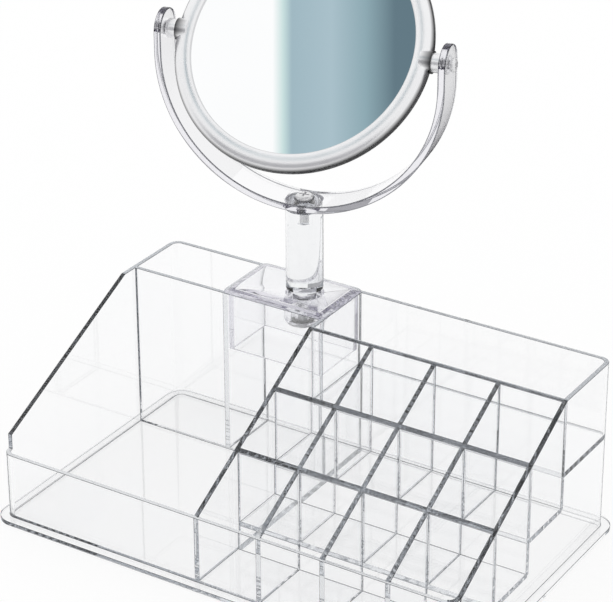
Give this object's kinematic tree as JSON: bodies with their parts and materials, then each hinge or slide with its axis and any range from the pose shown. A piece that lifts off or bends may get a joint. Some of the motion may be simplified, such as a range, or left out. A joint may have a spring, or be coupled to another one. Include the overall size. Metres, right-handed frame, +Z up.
{
  "type": "makeup organizer with mirror",
  "caption": "Clear plastic makeup organizer: a tray with bins, a stepped lipstick grid and a shelf, and a round mirror that tilts in a U-shaped yoke on a swivel post.",
  "frame": {"origin": "the mirror's upright swivel axis where it meets the flat underside that rests on the table", "axes": "+X to the right and +Y to the back as seen from the front, +Z up along the swivel axis"},
  "size_m": [0.2236, 0.1532, 0.2336],
  "materials": {
    "clear_plastic": "clear moulded polystyrene, polished",
    "mirror_glass": "silvered glass",
    "screw_steel": "zinc-plated steel",
    "silver_plating": "bright silver plating on plastic",
    "backing_card": "grey backing sheet"
  },
  "bodies": {
    "tray": {"bin_floor": "clear_plastic", "front_row_floor": "clear_plastic", "middle_row_floor": "clear_plastic", "back_row_floor": "clear_plastic", "shelf_floor": "clear_plastic", "left_wall": "clear_plastic", "right_wall": "clear_plastic", "front_wall": "clear_plastic", "back_wall": "clear_plastic", "divider_wall": "clear_plastic", "tower_side_wall": "clear_plastic", "grid_side_wall": "clear_plastic", "front_row_cross_wall": "clear_plastic", "middle_row_cross_wall": "clear_plastic", "back_row_cross_wall": "clear_plastic", "column_wall_1": "clear_plastic", "column_wall_2": "clear_plastic", "column_wall_3": "clear_plastic", "corner_walls": "clear_plastic", "base_flange": "clear_plastic"},
    "stand": {"stand_cap": "clear_plastic"},
    "yoke": {"post": "clear_plastic", "post_washer": "screw_steel", "post_screw": "screw_steel", "yoke": "clear_plastic", "yoke_screw": "screw_steel"},
    "mirror": {"front_frame": "silver_plating", "rear_frame": "silver_plating", "front_mirror": "mirror_glass", "rear_mirror": "mirror_glass", "mirror_card": "backing_card", "left_pivot_collar": "silver_plating", "right_pivot_collar": "silver_plating", "left_pivot_screw": "screw_steel", "right_pivot_screw": "screw_steel"}
  },
  "joints": [
    {"name": "stand_lift", "type": "slide", "parent": "tray", "child": "stand", "axis": [0, 0, 1], "range_m": [0, 0.04]},
    {"name": "yoke_swivel", "type": "hinge", "parent": "stand", "child": "yoke", "pos_m": [0, 0, 0.0807], "axis": [0, 0, 1], "continuous": true},
    {"name": "mirror_tilt", "type": "hinge", "parent": "yoke", "child": "mirror", "pos_m": [0, 0, 0.1914], "axis": [0.9799, 0.1994, 0], "continuous": true}
  ]
}
